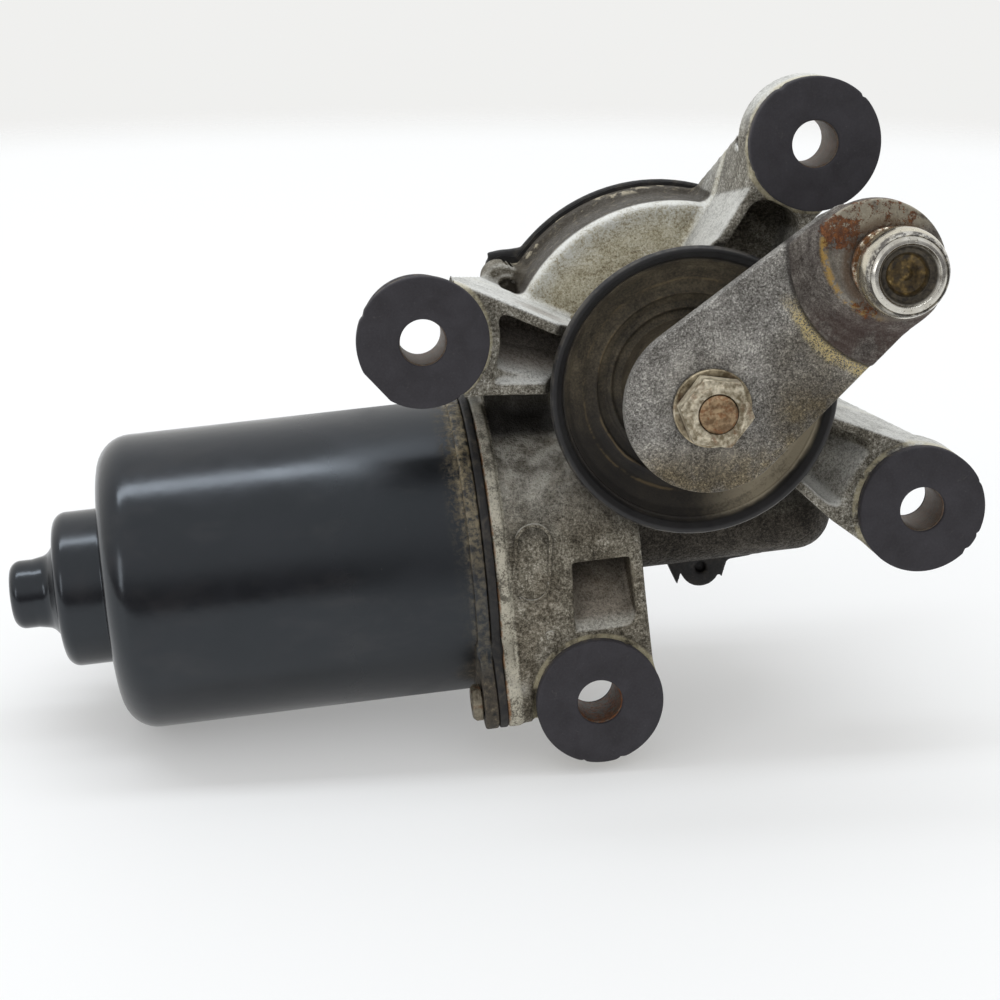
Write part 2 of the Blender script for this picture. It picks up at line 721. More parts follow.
def seal_rubber():
    f = Finish("seal_rubber", Specular_IOR_Level=0.4)
    radius = f.off_axis()
    wobble = f.wavy(radius, 11, 2.0)
    cloud = f.noise(7, 4, 0.65, 0.5)
    grit = f.noise(0.5, 3, 0.7)
    f.colour = f.ramp(cloud, (0.3, 30, 29, 30), (0.7, 42, 41, 41))
    inside = f.both(f.span(wobble, 27.6, 26.6), f.span(f.y, -0.9, 0.5))
    tone = f.layers((cloud, 0.9), (grit, 0.8), (f.streaks(wobble, 2.2, 0.05), 0.45))
    mud = f.ramp(tone, (0.25, 52, 47, 39), (0.5, 88, 80, 66), (0.78, 124, 113, 92))
    brown = f.both(inside, f.span(f.z, -8, 12, 0.6, 1.0))
    f.coat(mud, brown)
    # washed clean at the lower left, dusty at the lower right
    clean = f.both(inside, f.span(f.z, 4, -12), f.span(f.x, 10, -6))
    f.coat((38, 36, 36), clean, 0.75)
    sand = f.both(
        inside, f.span(f.z, -2, -11), f.span(f.x, -2, 13), f.span(wobble, 17, 20), f.span(tone, 0.3, 0.5, 0.6, 1.0)
    )
    f.coat((172, 161, 138), sand)
    for ring in (19.4, 22.4):
        thin = f.both(f.band(wobble, ring - 0.4, ring, ring, ring + 0.4), f.span(cloud, 0.45, 0.6), inside)
        f.coat((140, 120, 86), thin, 0.5)
    edge = f.both(f.span(radius, 29.2, 29.6), f.span(f.noise(3, 4, 0.7, seed=5), 0.4, 0.6))
    f.coat((100, 94, 84), edge, 0.35)
    rough = f.lifted(f.span(grit, 0.3, 0.7, 0.38, 0.5), inside, 0.3)
    return f.done(rough, (cloud, 0.1), (f.streaks(radius, 1.6, 0.05), 0.05), (grit, 0.05))


def moulding(name, shade, dusty=0.25):
    f = Finish(name, Specular_IOR_Level=0.4)
    cloud = f.noise(10, 4, 0.6)
    grain = f.noise(0.45, 3, 0.6)
    f.colour = f.ramp(cloud, (0.3, *[v - 5 for v in shade]), (0.7, *[v + 8 for v in shade]))
    dust = f.both(f.span(f.noise(3, 4, 0.7, 0.6, seed=5), 0.45, 0.7), f.span(f.up(), -0.6, 0.8, 0.3, 1.0))
    f.coat((118, 108, 92), dust, dusty)
    return f.done(f.span(grain, 0.3, 0.7, 0.5, 0.68), (grain, 0.07), (cloud, 0.06))


def crank_zinc():
    f = Finish("crank_zinc", Metallic=0.3, Specular_IOR_Level=0.45)
    speck = f.noise(0.44, 3, 0.7)
    fine = f.noise(0.24, 2, 0.6, seed=3)
    blotch = f.noise(3.6, 4, 0.65, 0.15)
    wide = f.noise(11, 3, 0.5, seed=8)
    tone = f.layers((speck, 1.3), (fine, 1.1), (blotch, 0.5), (wide, 0.6))
    f.colour = f.ramp(
        tone, (0.12, 64, 60, 55), (0.36, 106, 103, 97), (0.54, 136, 133, 128), (0.7, 168, 165, 158),
        (0.9, 218, 215, 207)
    )
    # brownish film towards the rims, whiter bloom round the nut
    film = f.either(f.span(f.z, -4, -13), f.both(f.span(f.x, 8, 16), f.span(f.z, 6, -2)))
    f.tint((196, 182, 152), film, f.span(blotch, 0.3, 0.6, 0.5, 1.0))
    bloom = f.both(f.span(f.off_axis(), 16, 9), f.span(blotch, 0.44, 0.62))
    f.coat((204, 200, 192), bloom, 0.16)
    olive = f.both(f.near((20, -17, 7), 3, 9), f.span(wide, 0.3, 0.6, 0.6, 1.0))
    f.tint((166, 152, 122), olive, 0.6)
    low = f.span(f.y, -17.4, -17.1)
    ledge = f.off_axis(CRANK_LEDGE)
    wobble = f.wavy(ledge, 5, 3.0, seed=6)
    band = f.both(f.span(wobble, 28.6, 26.6), f.span(f.z, 22, 15), f.span(fine, 0.44, 0.54), low)
    f.coat((206, 186, 128), band, 0.85)
    groove = f.both(f.band(ledge, 23.4, 24.4, 25.2, 25.9), f.span(blotch, 0.3, 0.5, 0.6, 1.0))
    f.coat((42, 35, 30), groove, 0.85)
    # the joggle
    raised = f.span(f.y, -17.4, -17.8)
    plateau = f.off_axis(CRANK_PLATEAU)
    lines = f.streaks(plateau, 1.2, 0.1)
    brown = f.ramp(
        f.layers((lines, 0.9), (speck, 0.8), (fine, 0.6), (blotch, 0.9)), (0.2, 54, 46, 42), (0.45, 86, 79, 73),
        (0.65, 116, 110, 103), (0.88, 156, 150, 140)
    )
    f.coat(brown, raised, 0.92)
    dark_red = f.both(raised, f.span(f.z, 21, 13), f.span(f.noise(5, 4, 0.7, 0.4, seed=24), 0.34, 0.52))
    f.coat((66, 48, 42), dark_red, 0.7)
    bright = f.both(raised, f.span(f.z, 30.5, 34), f.span(f.y, -20.6, -21.3), f.span(blotch, 0.3, 0.5))
    f.coat((178, 170, 150), bright, 0.7)
    flats = f.both(f.span(f.y, -20.8, -21.4), f.span(f.z, 31, 28))
    f.coat((140, 134, 122), flats, 0.35)
    ochre = f.both(
        f.band(plateau, 14.2, 15.0, 15.5, 16.2), f.span(f.x, 36, 29), f.span(f.z, 34, 31),
        f.span(f.noise(2.2, 4, 0.65, seed=16), 0.4, 0.52)
    )
    f.coat((164, 130, 60), ochre, raised, f.span(fine, 0.3, 0.55, 0.5, 0.9))
    zone = f.either(f.near((26.8, -21.6, 32.4), 2.2, 5.5), f.both(f.near((31, -21.6, 17.4), 1.5, 4.0), 0.9))
    zone = f.either(zone, f.both(f.span(f.z, 27, 33), 0.72))
    pits = f.layers((f.noise(1.9, 5, 0.75, 0.3, seed=21), 1.0), (zone, 0.42), (fine, 0.3))
    rust = f.both(raised, f.span(pits, 0.62, 0.7), f.span(f.y, -18.5, -20.5))
    stain = f.ramp(f.noise(1.0, 4, 0.75, seed=5), (0.32, 66, 36, 22), (0.52, 112, 64, 32), (0.72, 166, 104, 52))
    f.coat(stain, rust, 0.9)
    ball = f.off_axis(BALL)
    grease = f.both(raised, f.span(ball, 10.2, 8.4), f.span(f.noise(2.4, 3, seed=8), 0.3, 0.45))
    f.coat((92, 64, 38), grease, 0.6)
    grime = f.corners(2.5, 0.25, 0.85)
    f.coat((48, 42, 36), grime, 0.6)
    rough = f.lifted(f.span(tone, 0.2, 0.8, 0.66, 0.42), rust, 0.25)
    return f.done(rough, (blotch, 0.12), (speck, 0.16), (lines, 0.05), (rust, 0.08))


def worn_metal(name, dark, light, metallic=0.9, rough=(0.28, 0.5), rust=0.0, size=1.0, rust_size=2.5, dirty=False):
    f = Finish(name, Metallic=metallic)
    speck = f.noise(size, 4, 0.7)
    cloud = f.noise(4 * size, 3, 0.6, 0.4, seed=3)
    f.colour = f.ramp(f.layers((speck, 1.2), (cloud, 1.0)), (0.3, *dark), (0.75, *light))
    mask = f.span(f.noise(rust_size, 5, 0.7, 0.7, seed=13), 0.62 - 0.3 * rust, 0.76 - 0.3 * rust)
    stain = f.ramp(f.noise(0.7, 3, 0.7), (0.3, 78, 46, 28), (0.7, 150, 98, 56))
    f.coat(stain, mask, min(1.0, rust * 1.5))
    if dirty:
        low = f.span(f.y, -19.2, -18.2)
        f.tint((214, 206, 190), low, 0.8)
        f.coat((46, 38, 28), f.corners(2.2, 0.3, 0.95), 0.85)
        f.coat((222, 214, 192), f.edges(0.53, 0.62), 0.6)
    return f.done(f.span(speck, 0.3, 0.7, *rough), (speck, 0.06), (cloud, 0.05))


def chrome():
    f = Finish("chrome", Metallic=1.0)
    cloud = f.noise(3, 4, 0.6, 0.5)
    pits = f.span(f.noise(1.0, 4, 0.75, 0.8, seed=5), 0.62, 0.68)
    f.colour = f.ramp(cloud, (0.3, 176, 170, 158), (0.7, 222, 219, 210))
    f.coat((70, 58, 46), pits, 0.8)
    across = f.off_axis(BALL)
    ring = f.both(
        f.band(across, 7.3, 7.7, 8.2, 8.6), f.span(f.y, -33.4, -34), f.span(f.noise(1.6, 4, 0.8, seed=15), 0.46, 0.56)
    )
    f.coat((46, 38, 32), ring, 0.85)
    skirt = f.both(f.span(f.y, -35.0, -34.2), f.span(cloud, 0.35, 0.6, 0.5, 0.9))
    f.coat((222, 214, 194), skirt)
    bowl = f.both(f.span(across, 5.9, 5.4), f.span(f.y, -36.1, -35.7))
    cup = f.span(across, 4.3, 3.7)
    wall = f.ramp(f.noise(0.9, 3, 0.7), (0.3, 30, 26, 22), (0.7, 88, 80, 66))
    paste = f.ramp(
        f.noise(1.7, 3, 0.6), (0.34, 44, 35, 22), (0.52, 86, 70, 40), (0.66, 134, 110, 62), (0.78, 206, 182, 124)
    )
    f.coat(f.mix(cup, wall, paste), bowl)
    foot = f.both(f.span(f.y, -26.5, -24.2), f.span(f.noise(1.6, 4, 0.7, seed=2), 0.35, 0.55))
    stain = f.ramp(f.noise(1.0, 4, 0.7), (0.3, 60, 38, 22), (0.7, 130, 88, 50))
    f.coat(stain, foot)
    dirt = f.either(bowl, f.either(f.both(foot, 0.8), f.both(ring, 0.9)))
    metal = f.lifted(1.0, dirt, -0.6)
    rough = f.lifted(f.span(cloud, 0.3, 0.7, 0.14, 0.28), f.either(pits, dirt), 0.22)
    return f.done(rough, (cloud, 0.03), (pits, -0.05), metallic=metal)


def sleeve_steel():
    f = Finish("sleeve_steel", Metallic=0.6)
    speck = f.noise(0.6, 4, 0.75)
    f.colour = f.ramp(speck, (0.3, 66, 58, 50), (0.7, 134, 124, 112))
    lower = f.span(f.z, -44, -56, 0.25, 0.85)
    mask = f.both(lower, f.span(f.noise(1.8, 5, 0.7, 0.6, seed=13), 0.4, 0.56))
    stain = f.ramp(f.noise(0.8, 3, 0.7), (0.3, 66, 38, 20), (0.7, 150, 88, 42))
    f.coat(stain, mask)
    turning = f.noise(0.5, 2, 0.6, stretch=(0.1, 1.0, 0.1))
    return f.done(f.span(speck, 0.3, 0.7, 0.4, 0.7), (turning, 0.05), (speck, 0.05))


def wound_copper():
    f = Finish("copper", Metallic=0.85)
    turns = f.node("TexWave", f.place, bands_direction="Y", Scale=0.9, Distortion=2.0).outputs["Fac"]
    speck = f.noise(1.2, 3, 0.6)
    f.colour = f.ramp(turns, (0.2, 104, 50, 24), (0.8, 190, 112, 66))
    return f.done(f.span(speck, 0.3, 0.7, 0.28, 0.48), (turns, 0.15))


MATERIALS = {
    "can_paint": can_paint(),
    "casting": casting(),
    "rubber": rubber(),
    "seal_rubber": seal_rubber(),
    "cover_plastic": moulding("cover_plastic", (32, 31, 31)),
    "crank_zinc": crank_zinc(),
    "chrome": chrome(),
    "nut_steel": worn_metal("nut_steel", (120, 108, 84), (232, 222, 198), 0.45, (0.34, 0.54), 0.3, 1.0, 2.6, True),
    "shaft_steel": worn_metal("shaft_steel", (112, 88, 62), (190, 164, 128), 0.5, (0.42, 0.66), 0.5, 1.0, 2.0),
    "sleeve_steel": sleeve_steel(),
    "screw_steel": worn_metal("screw_steel", (84, 76, 62), (150, 142, 124), 0.6, (0.42, 0.64), 0.35),
    "bronze": worn_metal("bronze", (120, 84, 46), (176, 136, 82), 0.8, (0.35, 0.55)),
    "nylon": moulding("nylon", (214, 208, 190), 0.08),
    "brass": worn_metal("brass", (150, 118, 58), (200, 168, 100), 0.9, (0.22, 0.4)),
    "copper": wound_copper(),
    "lamination": worn_metal("lamination", (70, 72, 76), (118, 120, 124), 0.8, (0.35, 0.55), 0.1),
    "ferrite": moulding("ferrite", (52, 53, 57), 0.05),
    "carbon": moulding("carbon", (40, 40, 42), 0.05),
    "brown_board": moulding("brown_board", (104, 68, 38), 0.1),
    "spring_steel": worn_metal("spring_steel", (120, 120, 116), (190, 190, 186), 0.95, (0.2, 0.36)),
    "gasket": moulding("gasket", (30, 29, 29), 0.3),
}


SLOTS = {row["node"]: row["material_slot"] for row in frame["record"]["subparts"]}
BODIES = {node: body for body, nodes in frame["record"]["behaviour"]["bodies"].items() for node in nodes}
plain = dict(frame["nodes"])  # the CAD parts that nothing has replaced yet


def place_piece(made, node):
    """Puts a piece in the place of a CAD part: on its body, and with its material slot."""
    made.data.materials.clear()
    made.data.materials.append(MATERIALS[SLOTS[node]])
    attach(made, BODIES[node])
    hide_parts(node)
    del plain[node]


def turned_piece(name, node, corners, steps, segments, centre=(0, 0), shape=None, sharp=32):
    """A piece turned about a line along Y, from corners of (y, radius, corner radius)."""
    place_piece(turned_object(name, rounded(corners, steps), segments, "y", centre, shape, sharp), node)


def ring(y0, y1, bore, radius, bore_edge, edge):
    """The profile of a tube or washer, with its corner radii."""
    return [(y0, bore, bore_edge), (y0, radius, edge), (y1, radius, edge), (y1, bore, bore_edge)]


# ---- gear case

ARMS = {
    "left": (
        [(24, -7.0), (49.5, -12.5), (56.6, -13.2), (56.6, 13.2), (41.2, 8.9), (24, 5.6)],
        [(24, -7.0), (33, -8.6), (40.2, -10.2), (40.2, 9), (33, 8), (24, 5.6)],
    ),
    "top": (
        [(24, -9.6), (41.8, -7.6), (56.7, -13.2), (56.7, 13.2), (41.8, 7.6), (24, 9.6)],
        [(24, -9.6), (33, -9), (38.6, -8), (38.6, 8), (33, 9), (24, 9.6)],
    ),
    "right": (
        [(24, -7), (41, -11.2), (55.8, -13.2), (55.8, 13.2), (44.3, 10.5), (24, 7.6)],
        [(24, -7), (31, -9), (37.6, -10), (37.6, 10), (31, 9), (24, 7.6)],
    ),
}
ARM_Y = (3.2, 44.0)


def foot_frame(centre):
    reach = math.hypot(*centre)
    ux, uz = centre[0] / reach, centre[1] / reach
    return reach, lambda point: (point[0] * ux - point[1] * uz, point[0] * uz + point[1] * ux)


def across_of(centre):
    """A function that gives the distance across a foot's arm at any (x, z), and one for the distance along it."""
    reach = math.hypot(*centre)
    ux, uz = centre[0] / reach, centre[1] / reach
    return (lambda x, z: -x * uz + z * ux), (lambda x, z: x * ux + z * uz)


def arm_pocket(name, rib, floor, depth, edge, wall, wall_edge):
    centre = FEET[name]
    reach, at = foot_frame(centre)
    corners = [at((a, c - math.copysign(rib, c))) for a, c in ARMS[name][0]]
    return scoop(corners, floor, depth, edge, (at((reach, 0)), 13.4 + wall, wall_edge))


def flange_shapes(radius, x0, x1, edge, lug=LUG_R):
    yield rod_x(radius, x0, x1, edge=edge)
    for centre in LUGS:
        yield prism_x(strap(centre, lug, MOTOR, lug + 14), x0, x1, edge)


def capsule_line(a, b, radius, y0, y1, half=0.4):
    """A low raised line that runs round a capsule in the X-Z plane."""

    def distance(x, y, z):
        ex, ez = b[0] - a[0], b[1] - a[1]
        t = np.clip(((x - a[0]) * ex + (z - a[1]) * ez) / (ex * ex + ez * ez), 0, 1)
        side = np.abs(np.hypot(x - a[0] - ex * t, z - a[1] - ez * t) - radius) - half
        return soften(side, np.maximum(y0 - y, y - y1), 0.2)

    reach = radius + half
    low = (min(a[0], b[0]) - reach, y0, min(a[1], b[1]) - reach)
    return distance, low, (max(a[0], b[0]) + reach, y1, max(a[1], b[1]) + reach)


def gear_housing():
    case = Field((-46.63, -10.17, -81.12), (62.5, 69.4, 64), 0.5)
    drum = [(25.5, 0, 0), (25.5, 35.7, 1.5), (41.2, 35.9, 1.2), (42.4, 36.9, 0.8), (46, 37.1, 0.4), (46, 0, 0)]
    case.add(turned(rounded(drum, 4)))
    case.add(turned([(-7, 0), (-7, 11.5), (20.5, 11.5), (26.5, 16), (26.5, 0)]), 2)
    barrel = [(-44, 0), (-44, 31), (-38, 31), (-30, 24), (-22, 13), (-18, 10), *[
        (26.4 + 8 * math.sin(t), 2 + 8 * math.cos(t)) for t in np.linspace(0, math.pi / 2, 9)
    ], (34.4, 0)]
    case.add(turned(barrel, "x", MOTOR), 3)
    half_rod = rod_x(31.5, -43, -13, edge=1.0)
    case.add(overlap(half_rod, block((-43, 0, -70), (-13, MOTOR[0], 0))), 2)
    front = [(-41.6, -36), (-13, -36), (-12.2, -62), (-24, -64), (-37, -67), (-41.6, -67)]
    rear = [(-41.6, -26), (-13, -26), (-13, -48), (-24, -55), (-37, -60), (-41.6, -60)]
    case.add(prism(front, 2.8, 20, 0.9, rear), 0.3)
    for shape in flange_shapes(33, -44, -41.4, 0.4, LUG_R - 0.15):
        case.add(shape, 0.6)
    for centre in LUGS:
        case.add(rod_x(5.5, -44, -38.6, centre, 0.8), 1)
    for name, (outline, back) in ARMS.items():
        _, at = foot_frame(FEET[name])
        case.add(prism([at(p) for p in outline], *ARM_Y, 0.7, [at(p) for p in back]), 1.6)
    case.add(block((-12, MOTOR[0], -45.6), (21.5, 46, -20), 1.2), 1)
    case.add(block((-12, 42.8, -49), (21.5, 46, -40), 1), 0.6)
    for x, z in COVER_SCREWS[1:]:
        case.add(prism(strap((x, z), 3.4, (x * 0.8, z * 0.8), 4.2), 37, 46, 0.6), 0.8)
    case.add(prism(strap((-33.8, 20.8), 3.8, (-25, 15), 5.0), 36.8, 46, 1.0), 1.4)
    case.add(block((-41.2, 27, -8), (-30, 42, 3.4), 1.2), 1)
    case.add(overlap(rod_y(2.9, 36.2, 38, (-32.8, 19.2), 0.3), block((-40, 30, 19.2), (-20, 40, 30), 0.3)), 0.4)
    case.cut(rod_y(2.1, 30, 36.9, (-32.8, 18.9), 0.2), 0.4)

    # pockets behind the front of each arm, and in the column
    across, _ = across_of(FEET["left"])
    _, along = across_of(FEET["right"])
    left_floor = [[-4, -1.0, 0.8, 3.4], [16, 14, 9.5, 5.0]]
    right_floor = [[28, 34, 41], [16, 11, 5]]
    case.cut(arm_pocket("left", 2.5, lambda x, z: np.interp(across(x, z), *left_floor), 16, 2.2, 2.6, 2.6), 0.7)
    case.cut(arm_pocket("top", 2.4, lambda x, z: 17 + 0 * x, 17, 2.2, 0.4, 4.5), 0.7)
    case.cut(arm_pocket("right", 2.2, lambda x, z: np.interp(along(x, z), *right_floor), 16, 2.6, 0.2, 8.0), 0.8)
    column = [(-27.8, -34.2), (-15.6, -34.2), (-15.2, -46.5), (-17, -49), (-28.4, -49.2)]
    case.cut(scoop(column, lambda x, z: np.interp(z, [-49.2, -46, -36], [3.2, 6.0, 13.5]) + 0 * x, 13.5, 0.9), 0.4)

    for centre in FEET.values():
        case.add(rod_y(13.4, 2.8, 12.2, centre, 0.5), 0.8)

    # rooms and bores
    case.cut(rod_y(32.6, 28.2, 47, (0, 0), 0.8), 0.2)
    case.cut(block((-13, 27.35, MOTOR[1]), (13, 47, -20), 0.5), 0.2)
    case.cut(rod_x(7.4, -40, 31.7))
    case.cut(rod_x(9.3, -36, -27.7))
    case.cut(rod_x(25.3, -45, -34, edge=0.8), 0.3)
    case.cut(rod_y(7.3, -10, 30, (0, 0)), 0.4)
    seal_room = [(-20, 12.5), (-20, 30.35), (3.1, 30.35), (6.2, 28.4), (9.6, 23.2), (11, 17), (11, 12.5)]
    case.cut(turned(seal_room), 0.4)
    for centre in FEET.values():
        case.cut(rod_y(9.6, -1, 60, centre))
        case.cut(rod_y(12.3, 12.2, 17.2, centre), 0.3)
    for centre in COVER_SCREWS:
        case.cut(rod_y(2.0, 38, 47, centre))
    for centre in LUGS:
        case.cut(rod_x(2.5, -45, -37, centre))
    body = case.surface("gear_housing_shell", 0.3)

    # a plain raised oval and a cast dot on the column
    mark = Field((-41.1, 2.13, -51.4), (-31.2, 3.7, -23.1), 0.14)
    mark.add(capsule_line((-35.5, -28.6), (-36.6, -37.7), 3.6, 2.52, 3.4))
    mark.add(rod_y(1.0, 2.35, 3.4, (-33.8, -49.1), 0.3))
    whole = joined("gear_housing_cast", [body, mark.surface("marks", 0.5)])
    place_piece(whole, "gear_housing")


# ---- motor can


def motor_can():
    outer = [
        (-146.4, 0, 0), (-146.4, 7.4, 3), (-141.4, 7.4, 3), (-138.2, 8.0, 3), (-136, 10.8, 1), (-136, 16.8, 3),
        (-125, 16.8, 1.2), (-125, 32, 7.5), (-48.6, 32, 0),
    ]
    inner = [
        (-48.6, 30.5, 0), (-123.5, 30.5, 6), (-123.5, 15.3, 1), (-134.5, 15.3, 1.6), (-134.5, 9.4, 1), (-137.2, 6.3, 1),
        (-144.9, 5.9, 1.5), (-144.9, 0, 0),
    ]
    shell = turned_object("can_shell", rounded([*outer, *inner], 10), 160, "x", MOTOR, sharp=50)
    plate = Field((-50.57, 0, -77), (-44.5, 74, 4), 0.25)
    for shape in flange_shapes(33, -48.9, -46.1, 0.5):
        plate.add(shape, 2.0)
    plate.cut(rod_x(30.5, -60, -40))
    for centre in LUGS:
        plate.cut(rod_x(2.5, -60, -40, centre))
    can = joined("motor_can", [shell, plate.surface("can_flange", 0.25)])
    can.data.shade_smooth()
    can.data.set_sharp_from_angle(angle=math.radians(50))
    place_piece(can, "motor_yoke")

    sheet = Field((-49.07, 0, -78), (-42, 75, 5), 0.25)
    for shape in flange_shapes(33.2, -46.0, -44.1, 0.5):
        sheet.add(shape, 2.0)
    sheet.cut(rod_x(29.5, -60, -40))
    for centre in LUGS:
        sheet.cut(rod_x(2.5, -60, -40, centre))
    place_piece(sheet.surface("yoke_gasket_sheet", 0.25), "yoke_gasket")


def hexagon(flats, centre, turn=0.0):
    corner = flats / math.sqrt(3)
    return [
        (centre[0] + corner * math.cos(turn + i * TURN / 6), centre[1] + corner * math.sin(turn + i * TURN / 6))
        for i in range(6)
    ]


def yoke_screw(name, centre):
    x0, x1 = -51.4, -49.2
    head = Field((x0 - 1.04, centre[0] - 6, centre[1] - 6), (-36, centre[0] + 6, centre[1] + 6), 0.15)
    dome = [(x1, 0), (x1, 3.9), (x0 + 0.8, 4.05), (x0, 3.1), (x0, 0)]
    head.add(overlap(prism_x(hexagon(7, centre), x0, x1, 0.2), turned(dome, "x", centre), 0.2))
    head.add(rod_x(3.9, x1 - 0.5, x1, centre, 0.15), 0.2)
    head.cut(rod_x(1.6, x0 - 1, x0 + 0.5, centre, 0.2), 0.3)
    head.add(rod_x(2.2, x1 - 1, -37.6, centre, 0.3))
    place_piece(head.surface(name + "_bolt", 0.5), name)


# ---- gear cover


def cover_plan(y0, y1, margin, edge):
    yield rod_y(38.2 + margin, y0, y1, (0, 0), edge)
    yield block((-12 - margin, y0, -49.3 - margin), (21.5 + margin, y1, 0), edge)
    for x, z in COVER_SCREWS:
        yield prism(strap((x, z), 3.2 + margin, (x * 0.8, z * 0.8), 6), y0, y1, edge)


def gear_cover():
    lid = Field((-41.13, 43.93, -58.12), (42, 60, 42), 0.5)
    for shape in cover_plan(46.6, 48.6, 0, 0.5):
        lid.add(shape, 0.8)
    dome = rounded([(47, 0, 0), (47, 33, 0), (53.4, 32.2, 0), (55, 30, 1.6), (55, 0, 0)], 5)
    lid.add(turned(dome), 1.6)
    for i in range(COVER_RIBS):
        t = (i + 0.5) * TURN / COVER_RIBS
        c, s = math.cos(t), math.sin(t)
        corners = [(11, -0.7), (30, -0.7), (30, 0.7), (11, 0.7)]
        lid.add(prism([(a * c - b * s, a * s + b * c) for a, b in corners], 53, 55.9, 0.4), 0.8)
    lid.add(turned([(54, 0), (54, 12), (56.6, 11), (56.6, 0)]), 1)
    lid.cut(rod_y(7, 55.6, 60, (0, 0), 0.5), 0.4)
    for x, z in COVER_SCREWS:
        lid.add(rod_y(3.9, 46.8, 48.6, (x, z), 0.2), 0.4)
    lid.add(prism([(-35.6, 25.8), (-33, 22), (-29, 22), (-28, 26.2)], 46.6, 48.6, 0.4), 0.6)
    lid.add(rod_y(4.6, 46.6, 49.6, HARNESS_LUG, 0.5), 0.6)
    for left, tip, right in ((-0.8, 1.4, 3.4), (10.6, 11.6, 13.8)):
        corners = [(left, -48), (left, -49.3), (tip, -55.1), (right, -49.3), (right, -48)]
        lid.add(prism(corners, 46.6, 49.6, 0.3), 0.4)
    lid.cut(rod_y(30, 45.6, 53, (0, 0), 1), 0.2)
    lid.cut(rod_y(1.3, 45, 48.3, HARNESS_LUG), 0.3)
    lid.add(prism([(12.5, -47), (13, -50.6), (19, -50.1), (24.6, -49.1), (24.6, -45)], 46.6, 48.6, 0.4), 0.5)
    for centre in COVER_SCREWS:
        lid.cut(rod_y(2.0, 45, 55.6, centre), 0.2)
        lid.cut(rod_y(3.9, 48.75, 58, centre), 0.2)
    lid.cut(block((14.7, 50.7, -9.3), (60, 90, 9.3)), 0.2)
    place_piece(lid.surface("gear_cover_shell", 0.3), "gear_cover")

    for index, (x, z) in enumerate(COVER_SCREWS, 1):
        y0, y1 = 48.9, 51.3
        bolt = Field((x - 6.03, 38.04, z - 6.03), (x + 6, 53, z + 6), 0.15)
        dome = [(y0, 0), (y0, 3.1), (y1 - 0.6, 3.2), (y1, 2.5), (y1, 0)]
        bolt.add(overlap(prism(hexagon(5.5, (x, z)), y0, y1, 0.2), turned(dome, "y", (x, z)), 0.2))
        bolt.cut(rod_y(1.3, y1 - 0.5, y1 + 2, (x, z), 0.2), 0.2)
        bolt.add(rod_y(1.7, 40, y0 + 1, (x, z), 0.3), 0.2)
        place_piece(bolt.surface(f"cover_bolt_{index}", 0.5), f"cover_screw_{index}")

    shell = Field((13.04, 48.93, -11.04), (37, 67, 11), 0.3)
    shell.add(block((15, 51, -9), (35, 64, 9), 1.2))
    shell.add(block((25, 63, -3), (29, 65.6, 3), 0.5), 0.5)
    shell.add(block((32.6, 50.9, -9), (34.6, 64.1, 9), 0.5), 0.3)
    shell.cut(block((21, 52.6, -7.4), (40, 62.4, 7.4), 0.6), 0.3)
    for z in (-5, 0, 5):
        shell.cut(block((17, 57.1, z - 0.9), (22, 59.9, z + 0.9)))
        shell.cut(block((17, 50, z - 0.9), (19.2, 59.9, z + 0.9)))
    place_piece(shell.surface("connector_shell", 0.4), "connector_socket")


# ---- feet


def foot_bushes():
    marks = {  # (angle in degrees, half width in degrees, depth in mm) of each scar in the flange's rim
        "left": [(218, 17, 0.0), (150, 4, 0.35), (300, 3, 0.25)],
        "top": [(118, 5, 0.4), (40, 3, 0.3), (200, 3, 0.25)],
        "right": [(312, 4, 0.5), (330, 3, 0.35), (20, 3, 0.2)],
        "bottom": [(250, 3, 0.3), (285, 4, 0.35), (60, 3, 0.2)],
    }
    corners = [
        (0, 4.8, 0.35), *[(0, r, 0) for r in (6, 7.5, 9, 10.5, 12)], (0, 13.5, 0.35), (2.5, 13.5, 0.2), (2.5, 9.3, 0.1),
        (12.5, 9.3, 0.1), (12.5, 11.9, 0.2), (15, 11.9, 0.35), (15, 4.8, 0.35),
        (14.1, 4.8, 0), (14.1, 6.7, 0), (0.9, 6.7, 0), (0.9, 4.8, 0),
    ]
    for name, centre in FEET.items():

        def scar(along, radius, angle, marks=marks[name], name=name):
            rim = np.clip((radius - 11) / 2, 0, 1)
            shrink = 0.05 * np.sin(3 * angle + len(name)) + 0.05
            for middle, half, depth in marks:
                t = (angle - math.radians(middle) + math.pi) % TURN - math.pi
                w = np.clip(1 - np.abs(t) / math.radians(half), 0, 1)
                if depth > 0:
                    shrink = shrink + depth * w
                else:
                    chord = 13.5 * math.cos(math.radians(half)) / np.cos(np.clip(t, -1, 1))
                    inside = np.abs(t) < math.radians(half)
                    shrink = shrink + np.where(inside, np.clip(13.5 - chord, 0, 1), 0)
            return along, radius - shrink * rim

        turned_piece(f"bush_{name}_moulded", f"bush_{name}", corners, 3, 144, centre, scar, 40)
        tube = ring(1.2, 13.8, 4.6, 6.4, 0.3, 0.3)
        turned_piece(f"sleeve_{name}_tube", f"sleeve_{name}", tube, 3, 96, centre, sharp=40)


# ---- shaft, seal and crank


